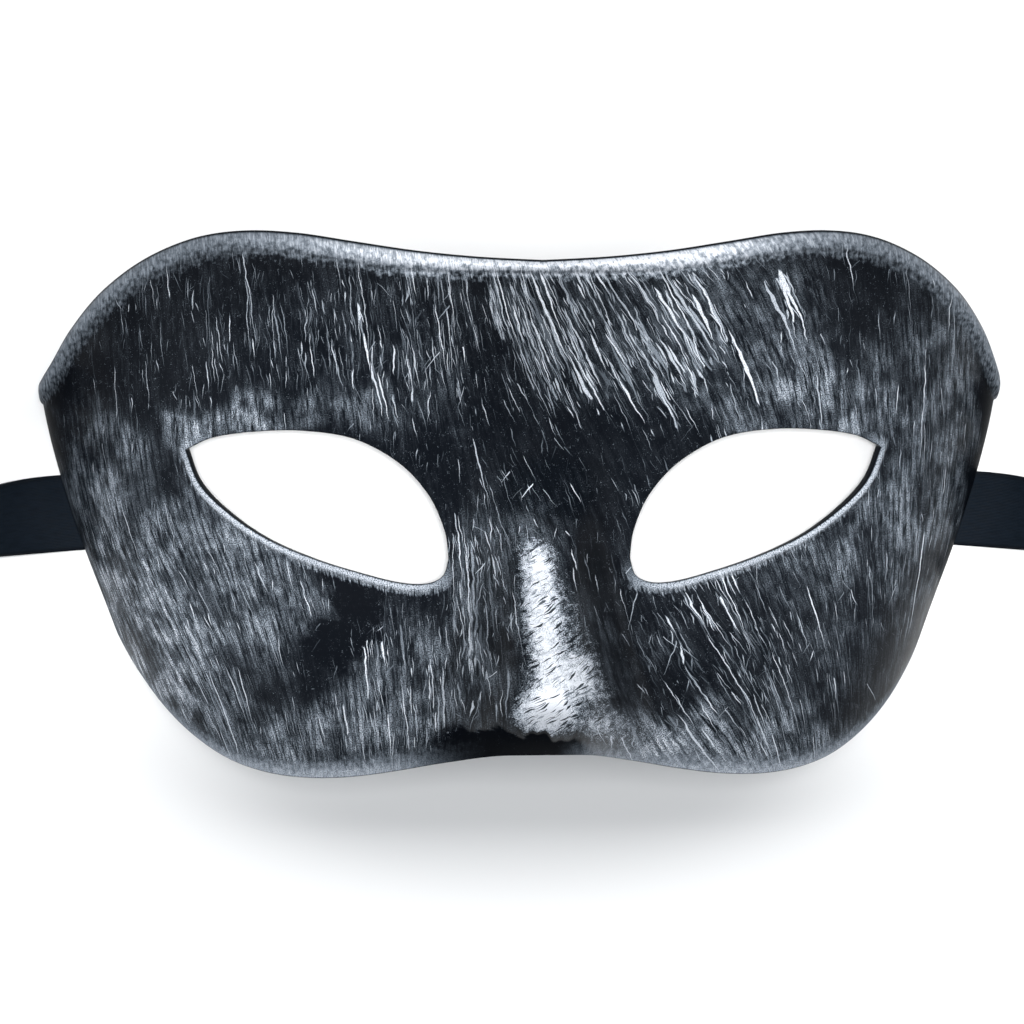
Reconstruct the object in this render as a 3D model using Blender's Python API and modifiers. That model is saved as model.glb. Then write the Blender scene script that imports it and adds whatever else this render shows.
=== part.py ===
"""Masquerade half mask with two tie ribbons, lying on its back, face up.

The mask is one thin moulded shell, hollow behind, with two open eye holes,
a lip round each eye and a rolled rim along the top. A flat ribbon is glued
inside each temple, folds under the side edge and runs outwards on the table.

Units are metres. X runs across the face, Y up the face, and Z out of it.
The table is Z = 0, and the side edges of the shell rest on it.
"""
import math

import bpy
import numpy as np

# Driving sizes of the shell
MASK_WIDTH = 0.1804
MASK_HEIGHT = 0.0970
SHELL_DEPTH = 0.0575
WALL = 0.0018
ROUNDNESS = 2.2  # exponent of the superellipse sections: 2 is an ellipse, more is boxier
TRIM_ANGLE = 1.5  # degrees the walls run on below the table before they are trimmed

# Nose
NOSE_RISE = 0.0270
NOSE_HALF_WIDTH = 0.0145
NOSE_BLUNTNESS = 2.9  # exponent of the nose's bump: 2 is a bell, more is flatter on top
NOSE_SOFTENING = 0.0020  # how far up and down its profile is averaged

# Eye holes and the soft hollow round them
EYE_WIDTH = 0.0460
EYE_HEIGHT = 0.0272
EYE_OFFSET = 0.0393
EYE_LEVEL = 0.0009
SOCKET_DEPTH = 0.0050
SOCKET_WIDTH = 0.0250
SOCKET_HEIGHT = 0.0190
LIP_WIDTH = 0.0017
LIP_RISE = 0.0009
LIP_START = 0.25  # radians round the eye, before the outer corner, where the lip begins
LIP_SWEEP = 3.5  # radians round the eye that the lip runs
LIP_FADE = 0.45  # radians over which each of its ends sinks into the skin

# Rolled rim along the top edge
RIM_WIDTH = 0.0038
RIM_RISE = 0.0013
RIM_NARROWING = 0.40  # share of its width that the rim loses in the middle of the brow
RIM_NARROW_ANGLE = 9.0  # degrees from the middle over which it widens again
RIM_FADE = 0.75  # share of its rise that the rim loses where it meets the side edge
RIM_FADE_ANGLE = 30.0  # degrees from the side edge over which it rises again

# Ribbons
RIBBON_WIDTH = 0.0140
RIBBON_THICKNESS = 0.0010
RIBBON_GLUED_HEIGHT = 0.0160
RIBBON_FREE_LENGTH = 0.0200
RIBBON_SLOPE = 4.0  # degrees the ribbon heads down the face as it runs outwards
RIBBON_ROLL = 30.0  # degrees that its upper edge has turned up at the free end
CLEARANCE = 0.0003

# Mesh fineness
COLUMNS = {"middle": 24, "bottom": 13, "side": 8, "top": 17}
FACE_RINGS = 11
RING_CROWDING = 1.25  # exponent that packs the rings closer towards the outline
LIP_PROFILE = (0.7, 1.0, 0.0)  # shares of the lip's rise, from the hole to its foot
RIM_PROFILE = (0.87, 1.0, 0.87, 0.45)  # shares of the rim's rise, past the crease to the edge
RIBBON_COLUMNS = 5
GLUED_STATIONS = 5
FOLD_TURNS = (30, 60, 90)  # degrees round the inner edge of the notch
RIBBON_STATIONS = 9

# Horizontal sections, bottom to top. height: share of MASK_HEIGHT above the eye line;
# half_width: share of half MASK_WIDTH; depth: share of SHELL_DEPTH.
SECTION_COLUMNS = ("height", "half_width", "depth")
SECTIONS = (
    (-0.54, 0.695, 0.700),
    (-0.42, 0.760, 0.745),
    (-0.30, 0.812, 0.778),
    (-0.18, 0.860, 0.805),
    (-0.06, 0.909, 0.838),
    (0.06, 0.951, 0.880),
    (0.18, 0.984, 0.932),
    (0.30, 1.004, 0.972),
    (0.42, 1.012, 0.995),
    (0.54, 1.004, 1.002),
)

# Nose, top to bottom. height: share of MASK_HEIGHT above the eye line; rise: share of
# NOSE_RISE; spread: share of NOSE_HALF_WIDTH.
NOSE_COLUMNS = ("height", "rise", "spread")
NOSE = (
    (0.54, 0.00, 0.80),
    (0.23, 0.00, 0.70),
    (0.13, 0.05, 0.66),
    (0.02, 0.20, 0.66),
    (-0.08, 0.42, 0.70),
    (-0.18, 0.66, 0.78),
    (-0.27, 0.86, 0.88),
    (-0.31, 0.95, 0.95),
    (-0.345, 1.00, 1.00),
    (-0.38, 0.95, 1.03),
    (-0.41, 0.79, 1.06),
    (-0.44, 0.52, 1.08),
    (-0.48, 0.22, 1.12),
    (-0.54, 0.00, 1.15),
)

# Free edges of the shell. angle: degrees round the section from the middle of the face
# to the table; height: share of MASK_HEIGHT above the eye line.
EDGE_COLUMNS = ("angle", "height")
TOP_EDGE = (
    (0, 0.4535),
    (6, 0.4600),
    (12, 0.4710),
    (19, 0.4890),
    (26, 0.5065),
    (32, 0.5125),
    (38, 0.5065),
    (46, 0.4760),
    (55, 0.4190),
    (64, 0.3480),
    (72, 0.2900),
    (80, 0.2600),
    (92, 0.2500),
)
BOTTOM_EDGE = (
    (0, -0.4380),
    (5, -0.4400),
    (12, -0.4560),
    (20, -0.4740),
    (29, -0.4870),
    (38, -0.4890),
    (46, -0.4800),
    (54, -0.4580),
    (62, -0.4170),
    (70, -0.3610),
    (77, -0.3000),
    (84, -0.2430),
    (92, -0.2060),
)

# Eye outline, from the outer corner over the upper lid to the inner corner and back.
# across: share of half EYE_WIDTH, outwards; up: share of half EYE_HEIGHT.
EYE_COLUMNS = ("across", "up")
UPPER_LID = (
    (1.00, 0.78),
    (0.80, 0.92),
    (0.50, 0.99),
    (0.12, 1.00),
    (-0.28, 0.89),
    (-0.62, 0.58),
    (-0.85, 0.16),
    (-0.97, -0.30),
    (-1.00, -0.66),
)
LOWER_LID = (
    (-1.00, -0.66),
    (-0.96, -0.88),
    (-0.84, -0.98),
    (-0.65, -0.97),
    (-0.40, -0.87),
    (0.00, -0.66),
    (0.38, -0.38),
    (0.68, -0.03),
    (0.89, 0.34),
    (1.00, 0.78),
)

HALF_WIDTH = MASK_WIDTH / 2
SIDE_ANGLE = math.radians(90 + TRIM_ANGLE)
UNROLLED = (HALF_WIDTH + SHELL_DEPTH) / 2  # metres of skin for each radian of section
NOTCH_HEIGHT = RIBBON_THICKNESS + CLEARANCE


def column(table, names, name):
    """One named column of a table as an array."""
    return np.array([row[names.index(name)] for row in table], float)


def through(at, xs, ys):
    """A smooth curve through the points (xs, ys), xs rising, read at the places `at`."""
    slopes = np.gradient(ys, xs)
    i = np.clip(np.searchsorted(xs, at) - 1, 0, len(xs) - 2)
    step = xs[i + 1] - xs[i]
    t = np.clip((at - xs[i]) / step, 0, 1)
    rise = ys[i + 1] - ys[i]
    bend = (1 - t) * (slopes[i] * step - rise) - t * (slopes[i + 1] * step - rise)
    return ys[i] + t * rise + t * (1 - t) * bend


def read(table, names, name, share):
    """A table's column as a smooth function of its height column."""
    heights = column(table, names, "height")
    values = column(table, names, name)
    order = np.argsort(heights)
    return through(share, heights[order], values[order])


def half_width(y):
    return HALF_WIDTH * read(SECTIONS, SECTION_COLUMNS, "half_width", y / MASK_HEIGHT)


def depth(y):
    return SHELL_DEPTH * read(SECTIONS, SECTION_COLUMNS, "depth", y / MASK_HEIGHT)


def edge_height(table, angle):
    """Height of a free edge at an angle round the section, in metres."""
    angles = np.radians(column(table, EDGE_COLUMNS, "angle"))
    heights = column(table, EDGE_COLUMNS, "height")
    return MASK_HEIGHT * through(angle, angles, heights)


def nose_rise(y):
    """The nose's height above the face, the mean of its curve at a few near levels."""
    levels = [y + shift * NOSE_SOFTENING for shift in (-1, -0.5, 0, 0.5, 1)]
    rises = [read(NOSE, NOSE_COLUMNS, "rise", level / MASK_HEIGHT) for level in levels]
    return NOSE_RISE * np.mean(rises, axis=0)


def skin(angle, y):
    """Point of the outer skin, at an angle round the section and a height on the face.

    The section is a superellipse. The nose is a rounded ridge added to its front, and each
    eye socket is a soft hollow taken from it.
    """
    power = 2 / ROUNDNESS
    cosine = np.cos(angle)
    x = half_width(y) * np.abs(np.sin(angle)) ** power * np.sign(np.sin(angle))
    z = depth(y) * np.abs(cosine) ** power * np.sign(cosine)
    spread = NOSE_HALF_WIDTH * read(NOSE, NOSE_COLUMNS, "spread", y / MASK_HEIGHT)
    z = z + nose_rise(y) * np.exp(-(np.abs(x / spread) ** NOSE_BLUNTNESS))
    up = ((y - EYE_LEVEL) / SOCKET_HEIGHT) ** 2
    for middle in (EYE_OFFSET, -EYE_OFFSET):
        z = z - SOCKET_DEPTH * np.exp(-(((x - middle) / SOCKET_WIDTH) ** 2) - up)
    return np.stack([x, y + 0 * x, z], axis=-1)


def outward(angle, y):
    """Unit normal of the outer skin, from the slopes of the skin each way."""
    step = 1e-4
    round_it = skin(angle + step, y) - skin(angle - step, y)
    up_it = skin(angle, y + step * UNROLLED) - skin(angle, y - step * UNROLLED)
    normal = np.cross(round_it, up_it)
    return normal / np.linalg.norm(normal, axis=-1, keepdims=True)


def spaced(line, count):
    """`count` points along a line on the unrolled skin, equally far apart on the real skin."""
    points = skin(line[:, 0] / UNROLLED, line[:, 1])
    lengths = np.linalg.norm(np.diff(points, axis=0), axis=1)
    run = np.concatenate([[0], np.cumsum(lengths)])
    at = np.linspace(0, run[-1], count)
    return np.column_stack([np.interp(at, run, line[:, k]) for k in (0, 1)])


def straight(start, end):
    """Many points on the straight line between two places on the unrolled skin."""
    return start + (end - start) * np.linspace(0, 1, 200)[:, None]


def rim_width(angle):
    """Width of the rolled rim, narrower in the middle of the brow."""
    middle = np.exp(-((angle / math.radians(RIM_NARROW_ANGLE)) ** 2))
    return RIM_WIDTH * (1 - RIM_NARROWING * middle)


def rim_rise(angle):
    """Height of the rolled rim above the skin, lower where it meets the side edge."""
    from_side = (math.pi / 2 - angle) / math.radians(RIM_FADE_ANGLE)
    return RIM_RISE * (1 - RIM_FADE * np.clip(1 - from_side, 0, 1) ** 2)


def crease_height(angle):
    """Height of the crease under the rim, square to the top edge by the rim's width."""
    step = 0.01
    rise = edge_height(TOP_EDGE, angle + step) - edge_height(TOP_EDGE, angle - step)
    slope = rise / (2 * step * UNROLLED)
    return edge_height(TOP_EDGE, angle) - rim_width(angle) * np.sqrt(1 + slope**2)


def face_outline():
    """Outline of half the face below the rim, on the unrolled skin, round from the brow.

    It runs down the middle line, out along the bottom edge, up the side edge and back
    along the crease under the rim.
    """
    angles = np.linspace(0, SIDE_ANGLE, 400)
    unrolled = angles * UNROLLED
    bottom = np.column_stack([unrolled, edge_height(BOTTOM_EDGE, angles)])
    crease = np.column_stack([unrolled, crease_height(angles)])[::-1]
    middle = straight(crease[-1], bottom[0])
    side = straight(bottom[-1], crease[0])
    runs = [
        spaced(middle, COLUMNS["middle"] + 1),
        spaced(bottom, COLUMNS["bottom"] + 1),
        spaced(side, COLUMNS["side"] + 1),
        spaced(crease, COLUMNS["top"] + 1),
    ]
    return np.concatenate([run[:-1] for run in runs])


def eye_outline():
    """Outline of the eye hole on the unrolled skin, as many points, outer corner first."""
    lids = []
    for table in (UPPER_LID, LOWER_LID):
        across = column(table, EYE_COLUMNS, "across")
        up = column(table, EYE_COLUMNS, "up")
        rows = np.arange(len(table), dtype=float)
        at = np.linspace(0, rows[-1], 200)[:-1]
        lids.append(np.column_stack([through(at, rows, across), through(at, rows, up)]))
    shares = np.concatenate(lids)
    x = EYE_OFFSET + shares[:, 0] * EYE_WIDTH / 2
    y = EYE_LEVEL + shares[:, 1] * EYE_HEIGHT / 2
    angle = np.arcsin(np.minimum(x / half_width(y), 1) ** (ROUNDNESS / 2))
    return np.column_stack([angle * UNROLLED, y])


def bearing(points, centre):
    return np.arctan2(points[:, 1] - centre[1], points[:, 0] - centre[0])


def eye_rings(outline, eye):
    """For each point of the face outline, the eye-hole point and the lip point facing it."""
    centre = (eye.min(axis=0) + eye.max(axis=0)) / 2
    ahead = np.roll(eye, -1, axis=0) - np.roll(eye, 1, axis=0)
    square = np.column_stack([ahead[:, 1], -ahead[:, 0]])
    square /= np.linalg.norm(square, axis=1, keepdims=True)
    square *= np.sign(np.sum(square * (eye - centre)))
    bearings = bearing(eye, centre)
    order = np.argsort(bearings)
    facing = bearing(outline, centre)
    corner = np.argmin(np.abs(facing - bearings[0]))
    facing[corner] = bearings[0]
    read_at = [
        np.interp(facing, bearings[order], values[order], period=2 * math.pi)
        for values in (eye[:, 0], eye[:, 1], square[:, 0], square[:, 1])
    ]
    hole = np.column_stack(read_at[:2])
    way = np.column_stack(read_at[2:])
    radial = hole - centre
    way = way / np.linalg.norm(way, axis=1, keepdims=True)
    radial = radial / np.linalg.norm(radial, axis=1, keepdims=True)
    lean = way + radial
    lean /= np.linalg.norm(lean, axis=1, keepdims=True)
    reach = LIP_WIDTH / np.sum(lean * way, axis=1, keepdims=True)
    return hole, hole + lean * reach, lower_lid_share(facing, bearings[0])


def lower_lid_share(facing, corner):
    """How fully the lip stands up: 1 along the lower lid, fading to 0 on the upper lid.

    `facing` and `corner` are bearings from the eye's middle, in radians.
    """
    past_corner = (corner - facing + LIP_START) % (2 * math.pi)
    rising = np.clip(past_corner / LIP_FADE, 0, 1)
    falling = np.clip((LIP_SWEEP - past_corner) / LIP_FADE, 0, 1)
    return rising * falling


def half_shell():
    """The open outer skin of the half mask at positive X, as points and faces.

    Rings run from the eye hole, over the lip, to the outline of the face below the rim.
    The rim is a strip of rings from its crease to the top edge.
    """
    outline = face_outline()
    hole, lip, lid = eye_rings(outline, eye_outline())
    rings = []
    rises = []
    for k, share in enumerate(LIP_PROFILE):
        rings.append(hole + (lip - hole) * k / (len(LIP_PROFILE) - 1))
        rises.append(LIP_RISE * lid * share)
    for k in range(1, FACE_RINGS + 1):
        share = math.sin(k / FACE_RINGS * math.pi / 2) ** RING_CROWDING
        rings.append(lip + (outline - lip) * share)
        rises.append(0 * lid)

    count = len(outline)
    faces = []
    for ring in range(len(rings) - 1):
        below = [ring * count + i for i in range(count)]
        above = [i + count for i in below]
        faces += band(below + below[:1], above + above[:1])

    top = [i % count for i in range(count - COLUMNS["top"], count + 1)]
    crease = outline[top]
    angle = crease[:, 0] / UNROLLED
    edge = np.column_stack([crease[:, 0], edge_height(TOP_EDGE, angle)])
    below = [(len(rings) - 1) * count + i for i in top]
    first = len(rings) * count
    for k, share in enumerate(RIM_PROFILE, start=1):
        above = list(range(first, first + len(top)))
        faces += band(below, above)
        rings.append(crease + (edge - crease) * k / len(RIM_PROFILE))
        rises.append(rim_rise(angle) * share)
        below = above
        first += len(top)

    plan = np.concatenate(rings)
    lift = np.concatenate(rises)[:, None]
    angle = plan[:, 0] / UNROLLED
    points = skin(angle, plan[:, 1]) + outward(angle, plan[:, 1]) * lift
    return points, faces


def band(below, above):
    """Faces between two lines of points that run the same way."""
    steps = range(len(below) - 1)
    return [(below[i], above[i], above[i + 1], below[i + 1]) for i in steps]


def material(name, colour, roughness, metallic):
    made = bpy.data.materials.new(name)
    made.use_nodes = True
    shader = made.node_tree.nodes["Principled BSDF"]
    shader.inputs["Base Color"].default_value = (*colour, 1)
    shader.inputs["Roughness"].default_value = roughness
    shader.inputs["Metallic"].default_value = metallic
    made.diffuse_color = (*colour, 1)
    return made


def mesh_object(name, points, faces, collection, made_of=None):
    mesh = bpy.data.meshes.new(name)
    mesh.from_pydata([tuple(p) for p in points], [], faces)
    mesh.validate()
    obj = bpy.data.objects.new(name, mesh)
    collection.objects.link(obj)
    if made_of:
        mesh.materials.append(made_of)
    return obj


def box_cutter(name, low, high, collection):
    """A plain box between two corners, used only to cut."""
    bpy.ops.mesh.primitive_cube_add(size=1)
    cutter = bpy.context.object
    cutter.name = name
    cutter.location = [(a + b) / 2 for a, b in zip(low, high)]
    cutter.scale = [b - a for a, b in zip(low, high)]
    for owner in cutter.users_collection:
        owner.objects.unlink(cutter)
    collection.objects.link(cutter)
    cutter.hide_render = True
    cutter.display_type = "WIRE"
    return cutter


def cut(obj, cutter):
    boolean = obj.modifiers.new(cutter.name, "BOOLEAN")
    boolean.operation = "DIFFERENCE"
    boolean.solver = "EXACT"
    boolean.object = cutter


def make_shell(parts, cutters, plastic):
    """The moulded shell: half skin, mirrored, thickened inwards and trimmed on the table."""
    points, faces = half_shell()
    shell = mesh_object("mask_shell", points, faces, parts, plastic)
    mirror = shell.modifiers.new("both halves", "MIRROR")
    mirror.use_axis = (True, False, False)
    mirror.merge_threshold = 0.00005
    wall = shell.modifiers.new("wall", "SOLIDIFY")
    wall.thickness = WALL
    wall.offset = -1
    wall.use_quality_normals = True

    reach = MASK_WIDTH
    below = box_cutter("table trim", (-reach, -reach, -reach), (reach, reach, 0), cutters)
    cut(shell, below)
    at = float(half_width(np.array(0.0)))
    passing = ribbon_surface()[GLUED_STATIONS : GLUED_STATIONS + len(FOLD_TURNS) + 1, :, 1]
    low = passing.min() - CLEARANCE
    high = passing.max() + CLEARANCE
    for name, sign in (("notch left", -1), ("notch right", 1)):
        xs = sorted((sign * (at - RIBBON_WIDTH), sign * (at + RIBBON_WIDTH)))
        notch = box_cutter(name, (xs[0], low, -WALL), (xs[1], high, NOTCH_HEIGHT), cutters)
        cut(shell, notch)
    for polygon in shell.data.polygons:
        polygon.use_smooth = True
    return shell


def ribbon_surface():
    """Middle surface of the ribbon at positive X, as a grid of stations by columns.

    It lies on the inner wall, wraps round the inner edge of the notch at one clearance,
    and runs out over the table with its upper edge turning up.
    """
    across = np.linspace(-1, 1, RIBBON_COLUMNS)
    y = across * RIBBON_WIDTH / 2
    bend = CLEARANCE + RIBBON_THICKNESS / 2
    stations = []
    for height in np.linspace(RIBBON_GLUED_HEIGHT, NOTCH_HEIGHT, GLUED_STATIONS):
        cosine = (height / depth(y)) ** (ROUNDNESS / 2)
        angle = np.arccos(cosine)
        stations.append(skin(angle, y) - outward(angle, y) * (WALL + bend))
    level = np.full_like(y, math.pi / 2)
    out = outward(level, y) * np.array([1, 1, 0])
    out /= np.linalg.norm(out, axis=1, keepdims=True)
    corner = skin(level, y) * np.array([1, 1, 0]) - out * WALL + [0, 0, NOTCH_HEIGHT]
    for turn in FOLD_TURNS:
        turned = math.radians(turn)
        stations.append(corner - bend * (out * math.cos(turned) + np.array([0, 0, math.sin(turned)])))
    root = stations[-1]
    reach = float(half_width(np.array(0.0))) + RIBBON_FREE_LENGTH
    slope = math.tan(math.radians(RIBBON_SLOPE))
    for k in range(1, RIBBON_STATIONS + 1):
        share = k / RIBBON_STATIONS
        roll = math.radians(RIBBON_ROLL) * share * share * (3 - 2 * share)
        x = root[:, 0] + (reach - root[:, 0]) * share
        run = x - root[:, 0]
        from_low = (across + 1) / 2 * RIBBON_WIDTH
        y_out = root[0, 1] - run * slope + from_low * math.cos(roll)
        z_out = root[:, 2] + from_low * math.sin(roll)
        stations.append(np.column_stack([x, y_out, z_out]))
    return np.array(stations)


def make_ribbon(name, sign, parts, cloth):
    """One flat ribbon, as a surface given its thickness both ways."""
    grid = ribbon_surface() * np.array([sign, 1, 1])
    rows, columns = grid.shape[:2]
    faces = []
    for r in range(rows - 1):
        for c in range(columns - 1):
            a = r * columns + c
            quad = (a, a + 1, a + columns + 1, a + columns)
            faces.append(quad if sign > 0 else quad[::-1])
    ribbon = mesh_object(name, grid.reshape(-1, 3), faces, parts, cloth)
    thick = ribbon.modifiers.new("cloth", "SOLIDIFY")
    thick.thickness = RIBBON_THICKNESS
    thick.offset = 0
    return ribbon


def centre_over_origin(objects):
    """Slides the objects up or down the face until the shell is centred on Y = 0."""
    graph = bpy.context.evaluated_depsgraph_get()
    shell = objects[0].evaluated_get(graph).to_mesh()
    heights = [vertex.co.y for vertex in shell.vertices]
    middle = (min(heights) + max(heights)) / 2
    for obj in objects:
        obj.location.y -= middle
    return middle


def main():
    for obj in list(bpy.data.objects):
        bpy.data.objects.remove(obj)
    parts = bpy.data.collections.new("masquerade mask")
    cutters = bpy.data.collections.new("cutters")
    bpy.context.scene.collection.children.link(parts)
    bpy.context.scene.collection.children.link(cutters)

    plastic = material("painted plastic", (0.10, 0.11, 0.13), 0.42, 0.35)
    satin = material("black satin", (0.012, 0.013, 0.020), 0.45, 0.0)
    shell = make_shell(parts, cutters, plastic)
    left = make_ribbon("ribbon_left", -1, parts, satin)
    right = make_ribbon("ribbon_right", 1, parts, satin)
    centre_over_origin([shell, left, right, *cutters.objects])


main()
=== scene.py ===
# %% [markdown]
# # A masquerade half mask with two tie ribbons
#
# The real mask is one thin black plastic moulding. Somebody dragged a nearly dry brush of
# silver paint over it, so the paint caught the high places and left streaks elsewhere.
# Two black satin ribbons are glued inside the temples. The mask lies on its back on a pale
# table and is seen from above.
#
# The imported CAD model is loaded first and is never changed. Finer pieces are laid exactly
# where its solids are, and stand for them in the picture.

import math

import bmesh
import bpy
import numpy as np
from mathutils import Matrix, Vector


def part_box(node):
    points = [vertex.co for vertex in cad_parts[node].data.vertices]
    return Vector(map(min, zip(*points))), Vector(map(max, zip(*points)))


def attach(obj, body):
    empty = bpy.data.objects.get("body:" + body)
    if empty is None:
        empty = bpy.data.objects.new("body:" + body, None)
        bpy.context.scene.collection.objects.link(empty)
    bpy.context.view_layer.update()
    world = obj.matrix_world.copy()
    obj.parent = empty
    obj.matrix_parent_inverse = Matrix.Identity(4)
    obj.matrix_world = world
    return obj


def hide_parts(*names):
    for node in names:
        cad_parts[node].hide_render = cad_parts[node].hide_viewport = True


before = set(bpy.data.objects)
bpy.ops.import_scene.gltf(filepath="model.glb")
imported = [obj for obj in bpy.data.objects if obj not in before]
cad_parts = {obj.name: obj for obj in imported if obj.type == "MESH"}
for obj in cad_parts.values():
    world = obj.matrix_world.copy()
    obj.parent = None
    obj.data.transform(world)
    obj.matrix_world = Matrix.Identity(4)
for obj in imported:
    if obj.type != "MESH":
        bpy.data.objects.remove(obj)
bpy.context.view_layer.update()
shell_low, shell_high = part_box("mask_shell")
print("CAD nodes:", sorted(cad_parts))
print("shell in mm:", [round(1000 * v, 1) for v in (*shell_low, *shell_high)])

# %% [markdown]
# The shape of the face comes from a few sizes and short tables. Each table row is one level
# of the face, or one place along an edge, given as a share of the mask's height, so a
# reader can see at once that the mask is widest at the brow and narrows to the cheeks.
# A smooth curve is then carried through the rows.

# %% Sizes of the moulding, in metres
MASK_WIDTH = 0.1804
MASK_HEIGHT = 0.0970
SHELL_DEPTH = 0.0575
WALL = 0.0018
EDGE_ROUND = 0.0003  # how far the rounded free edges stand out
ROUNDNESS = 2.2  # exponent of the sections: 2 is an ellipse, more is boxier
NOSE_RISE = 0.0270
NOSE_HALF_WIDTH = 0.0145
NOSE_BLUNTNESS = 2.9
EYE_WIDTH = 0.0460
EYE_HEIGHT = 0.0272
EYE_OFFSET = 0.0393
EYE_LEVEL = 0.0009
SOCKET_DEPTH = 0.0050
SOCKET_WIDTH = 0.0250
SOCKET_HEIGHT = 0.0190
LIP_WIDTH = 0.0017
LIP_RISE = 0.0009
LIP_START = 0.25  # radians round the eye before its outer corner
LIP_SWEEP = 3.5
LIP_FADE = 0.45
RIM_WIDTH = 0.0038
RIM_RISE = 0.0013
RIM_NARROWING = 0.40
RIM_NARROW_ANGLE = math.radians(9)
RIM_FADE = 0.75
RIM_FADE_ANGLE = math.radians(30)
UNROLLED = (MASK_WIDTH / 2 + SHELL_DEPTH) / 2  # metres of skin for each radian of section
HALVINGS = 40  # steps of a search for an angle

# Levels of the face: height, half width and depth as shares of the sizes above.
SECTIONS = np.array([
    (-0.54, 0.695, 0.7), (-0.42, 0.76, 0.745), (-0.3, 0.812, 0.778),
    (-0.18, 0.86, 0.805), (-0.06, 0.909, 0.838), (0.06, 0.951, 0.88),
    (0.18, 0.984, 0.932), (0.3, 1.004, 0.972), (0.42, 1.012, 0.995),
    (0.54, 1.004, 1.002),
])
# The nose: height, rise and spread.
NOSE = np.array([
    (-0.54, 0, 1.15), (-0.48, 0.22, 1.12), (-0.44, 0.52, 1.08), (-0.41, 0.79, 1.06),
    (-0.38, 0.95, 1.03), (-0.345, 1, 1), (-0.31, 0.95, 0.95), (-0.27, 0.86, 0.88),
    (-0.18, 0.66, 0.78), (-0.08, 0.42, 0.7), (0.02, 0.2, 0.66), (0.13, 0.05, 0.66),
    (0.23, 0, 0.7), (0.54, 0, 0.8),
])
# Free edges: degrees round the section from the middle, and height.
TOP_EDGE = np.array([
    (0, 0.4535), (6, 0.46), (12, 0.471), (19, 0.489), (26, 0.5065), (32, 0.5125),
    (38, 0.5065), (46, 0.476), (55, 0.419), (64, 0.348), (72, 0.29), (80, 0.26),
    (92, 0.25),
])
BOTTOM_EDGE = np.array([
    (0, -0.438), (5, -0.44), (12, -0.456), (20, -0.474), (29, -0.487),
    (38, -0.489), (46, -0.48), (54, -0.458), (62, -0.417), (70, -0.361),
    (77, -0.3), (84, -0.243), (92, -0.206),
])
# The eye hole: across and up, as shares of its half sizes.
UPPER_LID = np.array([
    (1, 0.78), (0.8, 0.92), (0.5, 0.99), (0.12, 1), (-0.28, 0.89),
    (-0.62, 0.58), (-0.85, 0.16), (-0.97, -0.3), (-1, -0.66),
])
LOWER_LID = np.array([
    (-1, -0.66), (-0.96, -0.88), (-0.84, -0.98), (-0.65, -0.97), (-0.4, -0.87),
    (0, -0.66), (0.38, -0.38), (0.68, -0.03), (0.89, 0.34), (1, 0.78),
])


# %% Smooth curves through the tables
def through(at, xs, ys):
    """A curve through the points (xs, ys), read at the places `at`.

    Between two points it is a cubic whose slope at each point is the slope from one
    neighbour to the other.
    """
    slopes = np.gradient(ys, xs)
    i = np.clip(np.searchsorted(xs, at) - 1, 0, len(xs) - 2)
    step = xs[i + 1] - xs[i]
    t = np.clip((at - xs[i]) / step, 0, 1)
    rise = ys[i + 1] - ys[i]
    bend = (1 - t) * (slopes[i] * step - rise) - t * (slopes[i + 1] * step - rise)
    return ys[i] + t * rise + t * (1 - t) * bend


def half_width(y):
    share = through(y / MASK_HEIGHT, SECTIONS[:, 0], SECTIONS[:, 1])
    return MASK_WIDTH / 2 * share


def depth(y):
    return SHELL_DEPTH * through(y / MASK_HEIGHT, SECTIONS[:, 0], SECTIONS[:, 2])


def edge_height(table, angle):
    return MASK_HEIGHT * through(angle, np.radians(table[:, 0]), table[:, 1])


def smooth(x):
    """0 below 0, 1 above 1, and an S curve between: three x squared less two x cubed."""
    x = np.clip(x, 0, 1)
    return x * x * (3 - 2 * x)


print("half width at the eyes, mm:", round(1000 * float(half_width(0.0)), 2))

# %% [markdown]
# The outer skin is a function of two numbers, the angle round a level section and the
# height up the face. The section is a superellipse, which is an ellipse with a little of a
# box in it. The nose is a rounded ridge added to its front, and each eye socket is a
# shallow dish taken away. Everything else on the mask is laid on this one function.


# %% The outer skin
def nose_rise(y):
    """The nose's height above the face: the mean of its curve at five near levels, which
    takes the last stiffness out of the ridge so that light runs smoothly down it."""
    levels = [(y + shift) / MASK_HEIGHT for shift in (-0.002, -0.001, 0, 0.001, 0.002)]
    return NOSE_RISE * np.mean([through(at, NOSE[:, 0], NOSE[:, 1]) for at in levels], axis=0)


def nose_spread(y):
    return NOSE_HALF_WIDTH * through(y / MASK_HEIGHT, NOSE[:, 0], NOSE[:, 2])


def skin(angle, y):
    """Point of the skin: half width times sine, and depth times cosine, each to the power
    two over ROUNDNESS, plus the nose's bell, less the eye socket's bell."""
    power = 2 / ROUNDNESS
    cosine = np.cos(angle)
    x = half_width(y) * np.abs(np.sin(angle)) ** power * np.sign(np.sin(angle))
    z = depth(y) * np.abs(cosine) ** power * np.sign(cosine)
    z = z + nose_rise(y) * np.exp(-(np.abs(x / nose_spread(y)) ** NOSE_BLUNTNESS))
    up = ((y - EYE_LEVEL) / SOCKET_HEIGHT) ** 2
    for middle in (EYE_OFFSET, -EYE_OFFSET):
        z = z - SOCKET_DEPTH * np.exp(-(((x - middle) / SOCKET_WIDTH) ** 2) - up)
    return np.stack([x, y + 0 * x, z], axis=-1)


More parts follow.
